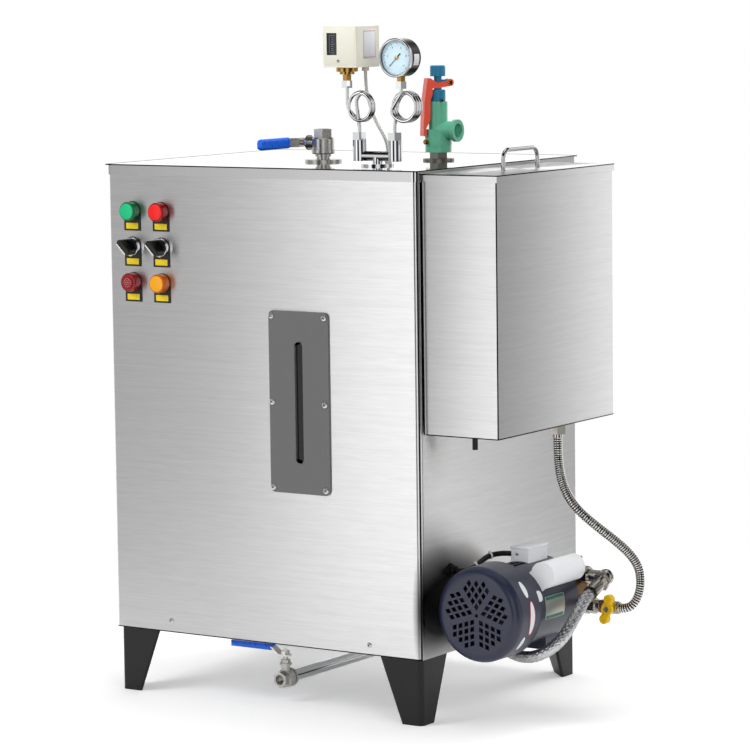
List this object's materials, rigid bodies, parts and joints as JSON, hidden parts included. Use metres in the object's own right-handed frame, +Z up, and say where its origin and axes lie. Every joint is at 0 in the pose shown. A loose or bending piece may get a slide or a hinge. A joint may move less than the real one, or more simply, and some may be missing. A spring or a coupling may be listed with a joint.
{
  "type": "electric steam boiler",
  "caption": "Small electric steam boiler: a stainless cabinet on black legs with lamps and a sight window, a water tank and feed pump on its side, and gauges and valves on the roof.",
  "frame": {"origin": "on the floor, under the middle of the machine's box without its hoses and cables", "axes": "+Z up; the control front faces -Y; the tank and pump are on the +X side"},
  "size_m": [0.7964, 0.4884, 1.028],
  "materials": {
    "cabinet_steel": "brushed stainless sheet",
    "mirror_steel": "polished stainless sheet",
    "black_paint": "satin black paint",
    "legend_black": "satin black plate",
    "green_lens": "green moulded lens",
    "red_lens": "red moulded lens",
    "amber_lens": "amber moulded lens",
    "buzzer_red": "dark red moulded lens",
    "chrome": "bright plating",
    "knob_black": "satin black plastic",
    "window_grey": "grey paint",
    "sight_glass": "dark water-level glass",
    "tank_steel": "bright rolled stainless sheet",
    "nickel": "nickel-plated brass",
    "black_plastic": "black plastic",
    "motor_navy": "dark blue-grey gloss paint",
    "white_plastic": "white plastic",
    "brass": "cast brass",
    "yellow_paint": "yellow coated handle",
    "braided_steel": "braided stainless hose",
    "corrugated_steel": "corrugated stainless hose",
    "black_cable": "black cable sheath",
    "white_cable": "white cable sheath",
    "cast_steel": "cast stainless steel",
    "lever_steel": "pressed stainless strip",
    "blue_grip": "blue vinyl sleeve",
    "siphon_steel": "bright stainless tube",
    "cream_plastic": "cream moulded case",
    "gauge_black": "black gauge case",
    "dial_blue": "pale blue dial",
    "pointer_black": "dark pointer",
    "gauge_glass": "clear glass",
    "valve_grey": "grey cast metal",
    "valve_green": "sea-green paint",
    "valve_blue": "blue paint",
    "lever_red": "orange-red paint"
  },
  "bodies": {
    "cabinet": {"front_panel": "cabinet_steel", "cabinet_wrap": "cabinet_steel", "roof_cover": "mirror_steel", "base_pan": "cabinet_steel", "legs": "black_paint", "legend_plates": "legend_black", "lamp_green": "green_lens", "lamp_red": "red_lens", "lamp_amber": "amber_lens", "buzzer": "buzzer_red", "selector_bezels": "chrome", "window_plate": "window_grey", "sight_glass": "sight_glass", "water_tank": "tank_steel", "tank_outlet": "nickel", "tank_overflow": "black_plastic", "fan_cover": "motor_navy", "motor_body": "motor_navy", "pump_bracket": "black_paint", "terminal_box": "white_plastic", "capacitor": "white_plastic", "pump_head": "brass", "port_elbow": "nickel", "inlet_union": "nickel", "hose_valve": "nickel", "outlet_hose": "braided_steel", "inlet_hose": "corrugated_steel", "motor_cable": "black_cable", "switch_cable": "white_cable", "feed_fitting": "nickel", "cable_gland": "black_plastic", "steam_flange": "cast_steel", "steam_valve_body": "cast_steel", "drain_valve_body": "cast_steel", "drain_pipe": "chrome", "manifold": "chrome", "siphon_tubes": "siphon_steel", "switch_bellows": "brass", "switch_case": "cream_plastic", "gauge_case": "gauge_black", "gauge_socket": "brass", "gauge_dial": "dial_blue", "gauge_pointer": "pointer_black", "gauge_glass": "gauge_glass", "safety_base": "valve_grey", "safety_body": "valve_green", "safety_bonnet": "valve_blue", "switch_glands": "black_plastic"},
    "steam_lever": {"steam_valve_lever": "lever_steel", "steam_valve_grip": "blue_grip"},
    "drain_lever": {"drain_valve_lever": "lever_steel", "drain_valve_grip": "blue_grip"},
    "hose_valve_handle": {"butterfly_handle": "yellow_paint"},
    "selector_left": {"selector_knob_left": "knob_black"},
    "selector_right": {"selector_knob_right": "knob_black"},
    "relief_lever": {"safety_lever": "lever_red"},
    "lid": {"tank_lid": "tank_steel", "lid_handle": "chrome"}
  },
  "joints": [
    {"name": "steam_valve_turn", "type": "hinge", "parent": "cabinet", "child": "steam_lever", "pos_m": [-0.13175, -0.04525, 0.849], "axis": [-1, 0, 0], "range_deg": [0, 90]},
    {"name": "drain_valve_turn", "type": "hinge", "parent": "cabinet", "child": "drain_lever", "pos_m": [-0.09675, -0.16325, 0.071], "axis": [0, 0, 1], "range_deg": [0, 90]},
    {"name": "hose_valve_turn", "type": "hinge", "parent": "cabinet", "child": "hose_valve_handle", "pos_m": [0.36875, 0.01475, 0.157], "axis": [0, 1, 0], "range_deg": [0, 90]},
    {"name": "selector_left_turn", "type": "hinge", "parent": "cabinet", "child": "selector_left", "pos_m": [-0.33175, -0.22725, 0.6945], "axis": [0, 1, 0], "range_deg": [0, 90]},
    {"name": "selector_right_turn", "type": "hinge", "parent": "cabinet", "child": "selector_right", "pos_m": [-0.27725, -0.22725, 0.6945], "axis": [0, 1, 0], "range_deg": [0, 90]},
    {"name": "relief_lever_lift", "type": "hinge", "parent": "cabinet", "child": "relief_lever", "pos_m": [0.07, 0.05716, 0.9388], "axis": [-0.766, 0.6428, 0], "range_deg": [0, 6]},
    {"name": "tank_lid_lift", "type": "slide", "parent": "cabinet", "child": "lid", "axis": [0, 0, 1], "range_m": [0, 0.15]}
  ]
}
